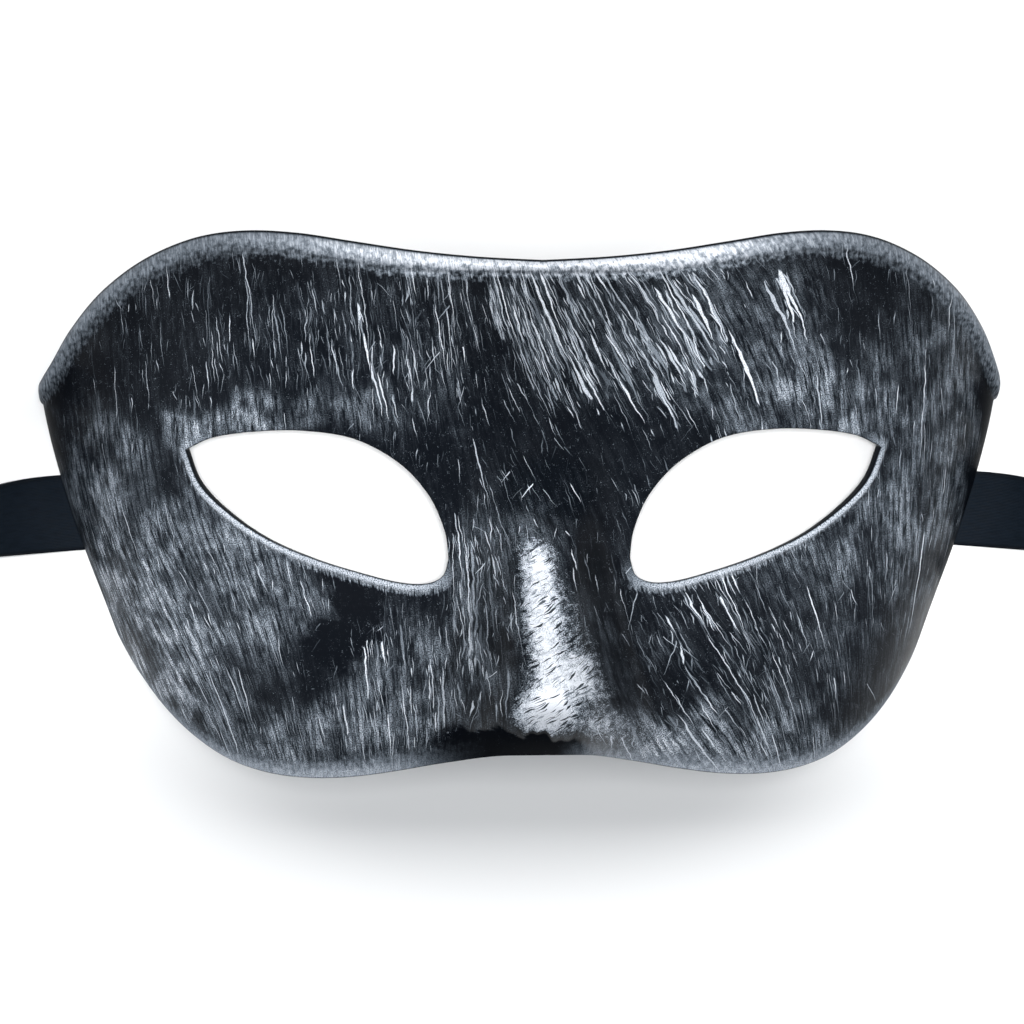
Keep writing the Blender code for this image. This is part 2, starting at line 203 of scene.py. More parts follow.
def outward(angle, y):
    """Unit normal of the skin: the cross product of its slopes round and up."""
    step = 1e-4
    round_it = skin(angle + step, y) - skin(angle - step, y)
    up_it = skin(angle, y + step * UNROLLED) - skin(angle, y - step * UNROLLED)
    normal = np.cross(round_it, up_it)
    return normal / np.linalg.norm(normal, axis=-1, keepdims=True)


def angle_at_height(y, height):
    """Angle at which the skin comes down to a height above the table, by halving."""
    low = np.full_like(y, math.radians(60))
    high = np.full_like(y, math.radians(95))
    for _ in range(HALVINGS):
        middle = (low + high) / 2
        above = skin(middle, y)[..., 2] > height
        low = np.where(above, middle, low)
        high = np.where(above, high, middle)
    return (low + high) / 2


# %% The rolled rim and the lid lips, as heights above the skin
def rim_width(angle):
    return RIM_WIDTH * (1 - RIM_NARROWING * np.exp(-((angle / RIM_NARROW_ANGLE) ** 2)))


def rim_rise(angle):
    from_side = (math.pi / 2 - angle) / RIM_FADE_ANGLE
    return RIM_RISE * (1 - RIM_FADE * np.clip(1 - from_side, 0, 1) ** 2)


def crease_height(angle):
    """Height of the crease under the rim, square to the top edge by the rim's width."""
    step = 0.01
    rise = edge_height(TOP_EDGE, angle + step) - edge_height(TOP_EDGE, angle - step)
    slope = rise / (2 * step * UNROLLED)
    return edge_height(TOP_EDGE, angle) - rim_width(angle) * np.sqrt(1 + slope**2)


def rim_profile(t):
    """A rolled bead: a quarter of a fat ellipse up from the crease, then a soft fall."""
    crest = 0.5
    up = (1 - np.clip((crest - t) / crest, 0, 1) ** 2.6) ** (1 / 2.2)
    down = 1 - 0.5 * np.clip((t - crest) / (1 - crest), 0, 1) ** 2
    return np.minimum(up, down)


def lip_profile(t):
    """A low lip: nearly full at the hole, full a third of the way, then a cosine fall."""
    crest = 0.38
    near = 1 - 0.25 * np.clip((crest - t) / crest, 0, 1) ** 2
    far = np.cos(np.clip((t - crest) / (1 - crest), 0, 1) * math.pi / 2) ** 2
    return np.where(t < crest, near, far)


print("rim width at the middle, mm:", round(1000 * float(rim_width(0.0)), 2))

# %% [markdown]
# The mesh is a set of rings, like ripples, from the eye hole out to the edge of half the
# face. Rings keep the faces even round the hole and let each lip and edge have its own
# close rows. The half is mirrored, so the two sides match as they do on the moulding.

# %% The outline of half the face, on the unrolled skin
COLUMNS = {"middle": 100, "bottom": 84, "side": 60, "top": 112}
NOTCH_HEIGHT = 0.0013
NOTCH = (-0.0069, 0.0083)  # from and to, up the face, on the skin's own measure
NOTCH_CORNER = 0.0008


def spaced(line, count):
    """`count` points along a line, equally far apart on the real skin."""
    points = skin(line[:, 0] / UNROLLED, line[:, 1])
    run = np.concatenate([[0], np.cumsum(np.linalg.norm(np.diff(points, axis=0), axis=1))])
    at = np.linspace(0, run[-1], count)
    return np.column_stack([np.interp(at, run, line[:, k]) for k in (0, 1)])


def side_angle(y):
    """Where the side edge stops: on the table, or over the ribbon at the notch."""
    inside = smooth((y - NOTCH[0]) / NOTCH_CORNER) * smooth((NOTCH[1] - y) / NOTCH_CORNER)
    return angle_at_height(y, EDGE_ROUND + NOTCH_HEIGHT * inside)


def face_outline():
    """Down the middle, out along the bottom edge, up the side, back under the rim."""
    corners = []
    for height in (edge_height(BOTTOM_EDGE, math.pi / 2), crease_height(math.pi / 2)):
        corners.append(float(side_angle(np.array([float(height)]))[0]))
    low = np.linspace(0, corners[0], 800)
    high = np.linspace(0, corners[1], 800)
    bottom = np.column_stack([low * UNROLLED, edge_height(BOTTOM_EDGE, low) + EDGE_ROUND])
    crease = np.column_stack([high * UNROLLED, crease_height(high)])[::-1]
    heights = np.linspace(bottom[-1, 1], crease[0, 1], 800)
    side = np.column_stack([side_angle(heights) * UNROLLED, heights])
    middle = np.column_stack([np.zeros(400), np.linspace(crease[-1, 1], bottom[0, 1], 400)])
    runs = zip((middle, bottom, side, crease), COLUMNS.values())
    return np.concatenate([spaced(line, count + 1)[:-1] for line, count in runs])


# %% The outline of the eye hole
def eye_outline():
    """Both lids as one closed line on the unrolled skin."""
    lids = []
    for table in (UPPER_LID, LOWER_LID):
        rows = np.arange(len(table), dtype=float)
        at = np.linspace(0, rows[-1], 400)[:-1]
        lids.append(np.column_stack([through(at, rows, table[:, k]) for k in (0, 1)]))
    shares = np.concatenate(lids)
    x = EYE_OFFSET + shares[:, 0] * EYE_WIDTH / 2
    y = EYE_LEVEL + shares[:, 1] * EYE_HEIGHT / 2
    angle = np.arcsin(np.minimum(x / half_width(y), 1) ** (ROUNDNESS / 2))
    return np.column_stack([angle * UNROLLED, y])


def unit(vectors):
    return vectors / np.linalg.norm(vectors, axis=-1, keepdims=True)


def eye_rings(outline, eye):
    """For each outline point: the hole point facing it, the lip's foot, and how fully the
    lip stands there, 1 along the lower lid and 0 on the upper."""
    centre = (eye.min(axis=0) + eye.max(axis=0)) / 2
    ahead = np.roll(eye, -1, axis=0) - np.roll(eye, 1, axis=0)
    square = unit(np.column_stack([ahead[:, 1], -ahead[:, 0]]))
    square *= np.sign(np.sum(square * (eye - centre)))
    bearings = np.arctan2(eye[:, 1] - centre[1], eye[:, 0] - centre[0])
    order = np.argsort(bearings)
    facing = np.arctan2(outline[:, 1] - centre[1], outline[:, 0] - centre[0])
    facing[np.argmin(np.abs(facing - bearings[0]))] = bearings[0]
    values = [eye[:, 0], eye[:, 1], square[:, 0], square[:, 1]]
    full_turn = 2 * math.pi
    found = [np.interp(facing, bearings[order], v[order], period=full_turn) for v in values]
    hole = np.column_stack(found[:2])
    way = unit(np.column_stack(found[2:]))
    lean = unit(way + unit(hole - centre))
    reach = 1 / np.sum(lean * way, axis=1, keepdims=True)
    past = (bearings[0] - facing + LIP_START) % full_turn
    lid = np.clip(past / LIP_FADE, 0, 1) * np.clip((LIP_SWEEP - past) / LIP_FADE, 0, 1)
    hole = hole + lean * reach * EDGE_ROUND
    return hole, hole + lean * reach * LIP_WIDTH, smooth(lid)


outline = face_outline()
hole, lip, lid = eye_rings(outline, eye_outline())
print("columns round the eye:", len(outline))

# %% [markdown]
# Each strip of the shell is kept as a stack of rows with the same few facts for every
# point: its angle and height on the skin, how far it is lifted, how far it is from the
# hole, how much of the lower lid it belongs to, and whether it is on the painted side.
# The painted side, the bare inside and the rounded edges are made from the same facts, so
# they meet point for point and can be welded.

# %% Strips of the shell
FACE_ROWS = 62
INNER_ROWS = 24
LIP_ROWS = 8
RIM_ROWS = 10
EDGE_ROWS = 6
RING_CROWDING = 1.25
FACTS = ("angle", "y", "lift", "from_hole", "lid", "outside")
LIFT, OUTSIDE = FACTS.index("lift"), FACTS.index("outside")
FAR_FROM_HOLE = 0.05
PAINT_STOP = 0.12  # share of the rim's width, before its edge, where the paint ends


def facts(plan, lift, from_hole, lid_share):
    """One row of points as an array with a column for each of FACTS."""
    full = np.ones(len(plan))
    rows = [plan[:, 0] / UNROLLED, plan[:, 1], lift, from_hole, lid_share, full]
    return np.stack([row * full for row in rows], axis=-1)


def face_strip(lip_rows, face_rows):
    """Rows from the eye hole over the lip to the outline."""
    rows = []
    for t in np.linspace(0, 1, lip_rows + 1):
        lift = LIP_RISE * lid * lip_profile(t)
        rows.append(facts(hole + (lip - hole) * t, lift, LIP_WIDTH * t, lid))
    for k in range(1, face_rows + 1):
        share = math.sin(k / face_rows * math.pi / 2) ** RING_CROWDING
        step = (outline - lip) * share
        away = LIP_WIDTH + np.linalg.norm(step, axis=1)
        rows.append(facts(lip + step, 0, away, lid))
    return np.array(rows)


def rim_strip():
    """Rows from the crease under the rim to the top edge, from the side to the middle."""
    crease = np.concatenate([outline[-COLUMNS["top"] :], outline[:1]])
    angle = crease[:, 0] / UNROLLED
    edge = np.column_stack([crease[:, 0], edge_height(TOP_EDGE, angle) - EDGE_ROUND])
    rows = []
    for t in np.linspace(0, 1, RIM_ROWS + 1):
        lift = rim_rise(angle) * rim_profile(t)
        rows.append(facts(crease + (edge - crease) * t, lift, FAR_FROM_HOLE, 0))
        rows[-1][:, OUTSIDE] = smooth((1 - t) / PAINT_STOP)
    return np.array(rows)


def placed(strip, sink):
    """Points of a strip, `sink` metres under the painted surface."""
    angle = strip[..., 0]
    y = strip[..., 1]
    return skin(angle, y) + outward(angle, y) * (strip[..., LIFT] - sink)[..., None]


# %% The rounded free edges
PAINT_TURN = 0.5  # radians round the edge over which the paint ends


def edge_strip(line, closed, inwards):
    """Rows round a free edge, from the painted side to the inside.

    The depth under the surface goes as half of one less a cosine, and the bulge as a root
    of the sine, which gives a flat edge with two small rounded corners.
    """
    top = placed(line, 0)
    normal = outward(line[:, 0], line[:, 1])
    ahead = np.roll(top, -1, axis=0) - np.roll(top, 1, axis=0)
    if not closed:
        ahead[0] = top[1] - top[0]
        ahead[-1] = top[-1] - top[-2]
    way = unit(np.cross(ahead, normal)) * inwards
    way[line[:, 0] < 1e-9] *= (0, 1, 1)
    rows = []
    shades = []
    for turn in np.linspace(0, math.pi, EDGE_ROWS + 1):
        sink = WALL * (1 - math.cos(turn)) / 2
        bulge = EDGE_ROUND * math.sqrt(abs(math.sin(turn)))
        rows.append(top - normal * sink + way * bulge)
        shade = line.copy()
        shade[:, OUTSIDE] *= max(0, 1 - turn / PAINT_TURN)
        shades.append(shade)
    return np.array(rows), np.array(shades)


def free_edge(face, rim):
    """The free edge of half the mask: along the bottom, up the side and over the top."""
    start = COLUMNS["middle"]
    stop = start + COLUMNS["bottom"] + COLUMNS["side"]
    return np.concatenate([face[-1, start : stop + 1], rim[1:-1, 0], rim[-1]])


# %% Weld the strips into one closed shell
def quads(rows, columns, closed, first):
    """Corner numbers of the faces between neighbouring rows and columns."""
    row = np.arange(rows - 1)[:, None] * columns
    here = np.arange(columns if closed else columns - 1)[None, :]
    there = (here + 1) % columns
    corners = [row + here, row + columns + here, row + columns + there, row + there]
    return first + np.stack(corners, axis=-1).reshape(-1, 4)


def half_mask():
    """Points, faces and facts of the half mask at positive X."""
    face = face_strip(LIP_ROWS, FACE_ROWS)
    inner = face_strip(3, INNER_ROWS)
    inner[..., OUTSIDE] = 0
    rim = rim_strip()
    inner_rim = rim * (1, 1, 1, 1, 1, 0)
    strips = [
        (placed(face, 0), face, True),
        (placed(inner, WALL), inner, True),
        (placed(rim, 0), rim, False),
        (placed(inner_rim, WALL), inner_rim, False),
        (*edge_strip(free_edge(face, rim), False, 1), False),
        (*edge_strip(face[0], True, -1), True),
    ]
    points, faces, shades, first = [], [], [], 0
    for place, shade, closed in strips:
        rows, columns = place.shape[:2]
        points.append(place.reshape(-1, 3))
        shades.append(shade.reshape(-1, len(FACTS)))
        faces.append(quads(rows, columns, closed, first))
        first += rows * columns
    return np.concatenate(points), np.concatenate(faces), np.concatenate(shades)


points, faces, shades = half_mask()
print("half mask:", len(points), "points,", len(faces), "faces")

# %% [markdown]
# The paint was dragged on, so its streaks follow the brush and not the table. Two maps are
# kept with every point, both in millimetres. The plain map is the distance round the skin
# and the height. The brushed map is the plain one sheared, so that its upright lines lean
# the way the brush went: nearly upright at the left of the brow, and down to the right at
# the middle, the right and on both cheeks.

# %% Distance round the skin, and the lean of the brush
MM = 1000
# Millimetres round the skin from the middle, lean on the brow and lean on the cheeks in
# degrees from upright, positive where the top of the streak leans to the left.
LEANS = np.array([
    (-100, 3, 14), (-80, 3, 22), (-60, 5, 26), (-40, 7, 16), (-20, 12, 3), (-5, 24, 2),
    (8, 27, 8), (22, 25, 18), (38, 18, 26), (55, 9, 22), (75, 4, 4), (100, 2, -8),
])
LEAN_SOFTNESS = 8.0  # millimetres of height over which one lean turns into the other


def distance_round(angle, y):
    """Arc length of the superellipse from the middle, summed over small steps and read
    back at each point. Heights are taken at the nearest of a close set of levels."""
    turns = np.linspace(0, math.radians(92), 500)
    levels = np.linspace(-0.06, 0.06, 241)
    power = 2 / ROUNDNESS
    x = half_width(levels)[:, None] * np.sin(turns) ** power
    z = depth(levels)[:, None] * np.abs(np.cos(turns)) ** power
    steps = np.hypot(np.diff(x, axis=1), np.diff(z, axis=1))
    run = np.concatenate([np.zeros((len(levels), 1)), np.cumsum(steps, axis=1)], axis=1)
    row = (y - levels[0]) / (levels[1] - levels[0])
    below = np.clip(row.astype(int), 0, len(levels) - 2)
    share = row - below
    column = np.clip(angle / turns[1], 0, len(turns) - 1.001)
    left = column.astype(int)
    part = column - left
    low = run[below, left] * (1 - part) + run[below, left + 1] * part
    high = run[below + 1, left] * (1 - part) + run[below + 1, left + 1] * part
    return low * (1 - share) + high * share


def brushed(s, y):
    """The plain map sheared sideways by the sum of the lean over the height."""
    over = (y + np.sqrt(y**2 + LEAN_SOFTNESS**2)) / 2
    under = (y - np.sqrt(y**2 + LEAN_SOFTNESS**2)) / 2
    brow = np.tan(np.radians(through(s, LEANS[:, 0], LEANS[:, 1])))
    cheek = np.tan(np.radians(through(s, LEANS[:, 0], LEANS[:, 2])))
    return s + brow * over + cheek * under


mirrored = points * (-1, 1, 1)
whole = np.concatenate([points, mirrored])
whole_faces = np.concatenate([faces, faces[:, ::-1] + len(points)])
whole_shades = np.concatenate([shades, shades])
angle, y, lift, from_hole, lid_share, outside = whole_shades.T
side = np.repeat([1.0, -1.0], len(points))
# The rim stands out sideways from the skin. A stroke runs straight down over it, so the
# distance round is carried along with it.
facing = outward(angle, y)
carried = lift * facing[:, 0] / np.maximum(facing[:, 2], 0.4)
s_mm = side * (distance_round(angle, y) + carried) * MM
y_mm = y * MM
u_mm = brushed(s_mm, y_mm)
rim_mm = (y - crease_height(angle)) * MM
print("skin from side to side, mm:", round(float(s_mm.max() - s_mm.min()), 1))

# %% [markdown]
# How much paint sits where is set by patches: soft ovals on the plain map. Each row of
# the table is one pass of the brush that can be pointed at, such as the bright streaks
# over the right brow or the grey haze on the left cheek. A patch adds to four amounts:
# bright streaks, grey haze, fine crossing hairs and solid silver. Negative amounts are
# places where the black shows.

# %% Patches of paint
# middle s, middle y, half width, half height in mm, tilt in degrees,
# then streaks, haze, hairs, solid.
PATCHES = {
    "all over": (0, 0, 200, 200, 0, 0.12, 0.02, 0.04, 0),
    "left brow": (-54, 33, 34, 14, 0, 0.24, 0.02, 0.02, 0),
    "left brow, near the middle": (-22, 32, 16, 14, 0, 0.46, 0.04, 0.1, 0),
    "over the left eye": (-44, 18, 20, 3.6, 5, 0.06, 0.42, 0, 0),
    "left outer corner": (-58, 15.2, 12, 3.4, 9, 0, 0.85, 0, 0),
    "middle of the brow": (3, 34, 11, 14, 0, 1.1, 0.05, 0.06, 0),
    "right of the middle": (18, 31, 15, 13, 0, 1.05, 0.12, 0, 0),
    "right brow": (38, 34, 14, 11, 0, 0.45, 0.3, 0, 0),
    "over the right eye": (50, 19.5, 18, 8, 0, 0.15, 0.72, 0, 0),
    "right side": (80, 10, 14, 34, 0, 0.1, 0.46, -0.05, 0),
    "left side": (-81, 0, 9, 18, 0, 0.06, 0.62, -0.05, 0),
    "left edge": (-97, -4, 10, 22, 0, 0.05, 0.45, -0.05, 0),
    "between the eyes": (-3, 6, 15, 10, 0, -0.04, 0, 0.24, 0),
    "over the left inner lid": (-24, 20, 12, 7, 0, 0.05, 0.08, 0.25, 0),
    "left cheek": (-64, -16, 16, 22, -22, 0.26, 0.62, 0, 0),
    "left cheek, by the edge": (-82, -27, 20, 19, -26, 0.02, 0.95, 0, 0),
    "left of the chin": (-38, -41, 22, 7, 0, 0.28, 0.66, 0, 0),
    "right of the chin": (38, -41, 24, 6.5, 0, 0.22, 0.76, 0, 0),
    "left cheek by the lid": (-46, -14, 9, 12, -10, 0.15, 0.3, 0.05, 0),
    "right cheek by the lid": (58, -4, 16, 7, 24, 0.1, 0.4, 0.2, 0),
    "dark place on the left cheek": (-34, -20, 5, 10, -8, -0.14, -0.42, 0.12, 0),
    "left of the nose": (-24, -30, 12, 12, 0, 0.55, 0.36, 0.1, 0),
    "left flank of the nose": (-10.5, -18, 5.5, 20, 0, 0.66, 0.22, 0.36, 0),
    "ridge of the nose": (0.8, -20, 7.4, 13.5, 8, 0, 0.1, -0.2, 0.5),
    "tip of the nose": (2.2, -32.5, 11, 8, 4, 0, 0.1, -0.2, 0.36),
    # The next two patches add solid silver as a painted highlight: the bright line down the
    # crest of the nose and the bright spot on its tip.
    "painted highlight on the crest of the nose": (-1, -16, 3.2, 12, 4, 0, 0, 0, 0.34),
    "painted highlight on the tip": (-1.5, -34.6, 5.5, 4.4, 0, 0, 0, 0, 0.5),
    "right of the ridge": (9.5, -27, 4.5, 9, 12, 0, 0.1, 0, 0.2),
    "right of the tip": (15, -39, 10, 4, -14, 0.2, 0.6, 0, 0.5),
    "top of the nose": (-2, -5, 6, 6, 0, 0.1, 0.25, 0.5, 0.32),
    "bridge of the nose": (1, 4, 9, 7, 0, 0, 0, 0, -0.8),
    "under the nose": (-6, -44, 13, 8, 0, -0.9, -0.9, -0.5, -2.6),
    "right of the nose": (18, -20, 8, 22, 0, 0.14, 0.04, 0.12, 0),
    "right cheek": (36, -20, 16, 18, 0, 0.48, 0.02, 0.12, 0),
    "right cheek, outside": (60, -20, 14, 18, 0, 0.05, 0.14, 0.22, 0),
    "left temple": (-108, 8, 14, 34, 0, -0.2, -0.15, -0.2, 0),
    "right temple": (108, 8, 14, 34, 0, -0.2, -0.15, -0.2, 0),
    "left side, unpolished": (-112, 0, 30, 60, 0, 0, 0, 0, -0.95),
    "right side, unpolished": (112, 0, 30, 60, 0, 0, 0, 0, -0.95),
}


def patch(s, y, row):
    """An oval with a flat top: e to the minus fourth power of the distance from its
    middle, measured in half widths and half heights after turning by the tilt."""
    turn = math.radians(row[4])
    across = (s - row[0]) * math.cos(turn) + (y - row[1]) * math.sin(turn)
    up = (y - row[1]) * math.cos(turn) - (s - row[0]) * math.sin(turn)
    return np.exp(-(((across / row[2]) ** 2 + (up / row[3]) ** 2) ** 2))


# Their outlines wander by a millimetre or three, since a brush leaves no ovals.
wandered_s = s_mm + 2.4 * np.sin(0.42 * y_mm + 1.1 * np.sin(0.19 * s_mm))
wandered_s += 1.0 * np.sin(1.3 * y_mm + 0.6 * s_mm)
wandered_y = y_mm + 1.6 * np.sin(0.37 * s_mm + 0.9 * np.sin(0.23 * y_mm))
amounts = np.zeros((4, len(s_mm)))
for name, row in PATCHES.items():
    kept = "nose" in name or "tip" in name
    share = patch(s_mm, y_mm, row) if kept else patch(wandered_s, wandered_y, row)
    if name == "under the nose":
        wander = 0.10 * s_mm + 0.8 * np.sin(0.9 * s_mm) + 0.4 * np.sin(2.3 * s_mm)
        share *= smooth((-38.0 - wander - y_mm) / 1.2)
    amounts += np.array(row[5:])[:, None] * share
streaks, haze, hairs, solid = np.clip(amounts, 0, 1.2)
dull = np.clip(-amounts[3], 0, 1)  # under the nose, on its bridge and at the sides
# Paint on the rim: millimetres round the skin, and how much silver the rim holds there. Its
# rise to the middle of the rim is partly a painted highlight.
RIM_PAINT_AND_HIGHLIGHT = np.array([
    (-120, 0.24), (-80, 0.28), (-55, 0.32), (-35, 0.62), (-18, 1.05), (0, 1.3),
    (25, 1.2), (42, 0.56), (60, 0.32), (80, 0.32), (120, 0.34),
])
rim_paint_and_highlight = through(s_mm, RIM_PAINT_AND_HIGHLIGHT[:, 0], RIM_PAINT_AND_HIGHLIGHT[:, 1])
# The same for the band of paint that the brush left as it came off the bottom edge.
BOTTOM_PAINT = np.array([
    (-120, 0.1), (-85, 0.26), (-62, 0.48), (-45, 0.6), (-26, 0.52), (-17, 0.1),
    (-10, 0), (2, 0), (9, 0.4), (20, 0.54), (38, 0.64), (58, 0.5), (75, 0.24),
    (120, 0.08),
])
bottom_paint = np.clip(through(s_mm, BOTTOM_PAINT[:, 0], BOTTOM_PAINT[:, 1]), 0, 1)
bottom_mm = (y - edge_height(BOTTOM_EDGE, angle)) * MM
print("mean streaks, haze, hairs:", [round(float(a.mean()), 2) for a in (streaks, haze, hairs)])


# %% Make the shell
WELD_DISTANCE = 2e-6


def link(obj):
    bpy.context.scene.collection.objects.link(obj)
    return obj


def add_vectors(mesh, name, *columns):
    """Stores three numbers a point under a name that a material can read."""
    layer = mesh.attributes.new(name, "FLOAT_VECTOR", "POINT")
    layer.data.foreach_set("vector", np.stack(columns, axis=-1).astype(np.float32).ravel())


def surface(name, points, faces):
    mesh = bpy.data.meshes.new(name)
    mesh.from_pydata(points, [], faces.tolist())
    return link(bpy.data.objects.new(name, mesh))


def weld(obj, distance):
    """Merges points that lie on each other and turns every face outwards."""
    work = bmesh.new()
    work.from_mesh(obj.data)
    bmesh.ops.remove_doubles(work, verts=work.verts, dist=distance)
    bmesh.ops.recalc_face_normals(work, faces=work.faces)
    holes = sum(edge.is_boundary for edge in work.edges)
    work.to_mesh(obj.data)
    work.free()
    obj.data.shade_smooth()
    print(obj.name, "has", len(obj.data.polygons), "faces and", holes, "open edges")


slide = (shell_low.y + shell_high.y) / 2 - (whole[:, 1].max() + whole[:, 1].min()) / 2
whole[:, 1] += slide
shell = surface("painted_shell", whole, whole_faces)
add_vectors(shell.data, "plain", s_mm, y_mm, outside)
add_vectors(shell.data, "brushed", u_mm, y_mm, np.zeros_like(y_mm))
add_vectors(shell.data, "edges", rim_mm, from_hole * MM, lid_share)
add_vectors(shell.data, "paint", streaks, haze, hairs)
add_vectors(shell.data, "silver", solid, rim_paint_and_highlight, dull)
add_vectors(shell.data, "bottom", bottom_mm, bottom_paint, np.zeros_like(y_mm))
weld(shell, WELD_DISTANCE)
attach(shell, "root")
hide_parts("mask_shell")

# %% [markdown]
# The ribbons are flat lengths of satin. Each is glued to the inside of a temple, turns
# under the side edge through a shallow notch, and runs outwards over the table, with its
# upper edge lifting a little. A strip carried along that path is enough, because a short
# flat ribbon hardly hangs.

# %% Ribbons
RIBBON_WIDTH = 0.0140
RIBBON_THICKNESS = 0.0006
RIBBON_GLUED_HEIGHT = 0.0160
RIBBON_FREE_LENGTH = 0.0200
RIBBON_SLOPE = math.tan(math.radians(4.0))
RIBBON_ROLL = math.radians(30.0)
CLEARANCE = 0.0003
RIBBON_COLUMNS = 29
RIPPLE = 0.00025


def ribbon_path():
    """Middle surface of the ribbon at positive X, as stations along by columns across."""
    across = np.linspace(-1, 1, RIBBON_COLUMNS)
    y = across * RIBBON_WIDTH / 2
    bend = CLEARANCE + RIBBON_THICKNESS / 2
    stations = []
    for height in np.linspace(RIBBON_GLUED_HEIGHT, NOTCH_HEIGHT, 24):
        angle = angle_at_height(y, height)
        stations.append(skin(angle, y) - outward(angle, y) * (WALL + bend))
    level = angle_at_height(y, 0)
    out = unit(outward(level, y) * (1, 1, 0))
    corner = skin(level, y) * (1, 1, 0) - out * WALL + (0, 0, NOTCH_HEIGHT)
    for turn in np.radians(np.arange(9, 91, 9)):
        stations.append(corner - bend * (out * math.cos(turn) + (0, 0, math.sin(turn))))
    root = stations[-1]
    reach = float(half_width(0.0)) + RIBBON_FREE_LENGTH
    rest = RIBBON_THICKNESS / 2
    for share in np.linspace(0, 1, 41)[1:]:
        roll = RIBBON_ROLL * smooth(share)
        x = root[:, 0] + (reach - root[:, 0]) * share
        up = (across + 1) / 2 * RIBBON_WIDTH
        ripple = RIPPLE * np.sin(share * 7 + across) * smooth(share * 4)
        y_out = root[0, 1] - (x - root[:, 0]) * RIBBON_SLOPE + up * math.cos(roll)
        z = rest + (root[:, 2] - rest) * (1 - smooth(share * 5)) + up * math.sin(roll)
        z = z + ripple * (across + 1) / 2
        stations.append(np.column_stack([x, y_out, z]))
    return np.array(stations)


def ribbon(name, sign):
    """One ribbon, with millimetres along and across kept for its weave."""
    grid = ribbon_path() * (sign, 1, 1) + (0, slide, 0)
    rows, columns = grid.shape[:2]
    middle = grid[:, columns // 2]
    along = np.concatenate([[0], np.cumsum(np.linalg.norm(np.diff(middle, axis=0), axis=1))])
    faces = quads(rows, columns, False, 0)
    strip = surface(name, grid.reshape(-1, 3), faces if sign < 0 else faces[:, ::-1])
    across = np.tile(np.linspace(-1, 1, columns) * RIBBON_WIDTH / 2, rows)
    run = np.repeat(along, columns)
    add_vectors(strip.data, "weave", across * MM, run * MM, 0 * run)
    strip.data.shade_smooth()
    cloth = strip.modifiers.new("cloth", "SOLIDIFY")
    cloth.thickness = RIBBON_THICKNESS
    cloth.offset = 0
    print(name, "is", round(float(along[-1]) * MM, 1), "mm long as built")
    return strip, float(along[-1])


ribbons = {}
for side_name, sign in (("left", -1), ("right", 1)):
    strip, length = ribbon("satin_ribbon_" + side_name, sign)
    ribbons[side_name] = strip
    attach(strip, "root")
    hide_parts("ribbon_" + side_name)

# %% [markdown]
# A material is a small network of nodes. Three helpers keep the networks readable: one
# adds a node, one joins numbers with a sum, and one turns a range of values into a mask
# with a soft edge. The rest are short forms of these for what comes up most. A node goes
# where its inputs are, since every socket knows the network that holds it.

# %% Helpers for building node networks
def tree_of(values):
    """The node tree that holds the sockets among some values."""
    return next(value.id_data for value in values if isinstance(value, bpy.types.NodeSocket))


def wire(value, socket):
    """Feeds a socket from another node's output, or sets it to a plain value. None
    leaves the socket as it is."""
    if isinstance(value, bpy.types.NodeSocket):
        socket.id_data.links.new(value, socket)
    elif value is not None:
        socket.default_value = value


def add(kind, *values, **settings):
    """Adds a node to the tree of its inputs, sets it up and fills its first inputs in
    order."""
    made = tree_of(values).nodes.new("ShaderNode" + kind)
    for name, setting in settings.items():
        setattr(made, name, setting)
    for socket, value in zip(made.inputs, values):
        wire(value, socket)
    return made


def calc(operation, *values, clamp=False):
    return add("Math", *values, operation=operation, use_clamp=clamp).outputs[0]


def vector(operation, *values):
    return add("VectorMath", *values, operation=operation).outputs[0]


def carry(operation, values):
    """One sum carried through any number of values, from the first to the last."""
    result = values[0]
    for value in values[1:]:
        result = calc(operation, result, value)
    return result


def plus(*values):
    return carry("ADD", values)


def less(*values):
    return carry("SUBTRACT", values)


def times(*values):
    return carry("MULTIPLY", values)


def most(*values):
    """The largest of the values."""
    return carry("MAXIMUM", values)


def fade(value, start, stop, low=0.0, high=1.0):
    """A soft step from `low` at `start` to `high` at `stop`."""
    ends = (start, stop, low, high)
    return add("MapRange", value, *ends, interpolation_type="SMOOTHSTEP").outputs[0]


def split(value):
    return tuple(add("SeparateXYZ", value).outputs)


def combine(x, y, z):
    return add("CombineXYZ", x, y, z).outputs[0]


def attribute(tree, name):
    made = tree.nodes.new("ShaderNodeAttribute")
    made.attribute_name = name
    return made.outputs["Vector"]


def turned(place, angle):
    """A map turned round its Z axis."""
    made = add("VectorRotate", place, None, None, angle, rotation_type="Z_AXIS")
    return made.outputs[0]


def noise(place, scale, detail=2.0, roughness=0.5):
    settings = {"noise_dimensions": "2D"}
    return add("TexNoise", place, None, scale, detail, roughness, **settings).outputs[0]


def group(name, output, **inputs):
    """A new node group with one number out. Its inputs are numbers that start at the
    value given, or vectors where that is None."""
    tree = bpy.data.node_groups.new(name, "ShaderNodeTree")
    for socket, start in inputs.items():
        kind = "NodeSocketVector" if start is None else "NodeSocketFloat"
        made = tree.interface.new_socket(socket, in_out="INPUT", socket_type=kind)
        if start is not None:
            made.default_value = start
    tree.interface.new_socket(output, in_out="OUTPUT", socket_type="NodeSocketFloat")
    source = tree.nodes.new("NodeGroupInput").outputs
    return tree, source, tree.nodes.new("NodeGroupOutput").inputs[output]


def place_group(made_group, **values):
    """Puts a group into a material, with a value for each input named."""
    made = tree_of(values.values()).nodes.new("ShaderNodeGroup")
    made.node_tree = made_group
    for name, value in values.items():
        wire(value, made.inputs[name])
    return made.outputs[0]


# %% [markdown]
# One bristle leaves one mark: a thin line that starts blunt, tapers away and wanders a
# little. Marks are scattered with cells. The map is squeezed along the brush so that each
# cell is long and narrow, every cell owns one mark, and the cell's own random colour picks
# the mark's lean, length, width and strength. A cell shows its mark only if its number is
# below the amount of paint there, so the streaks get sparse where the brush ran dry.

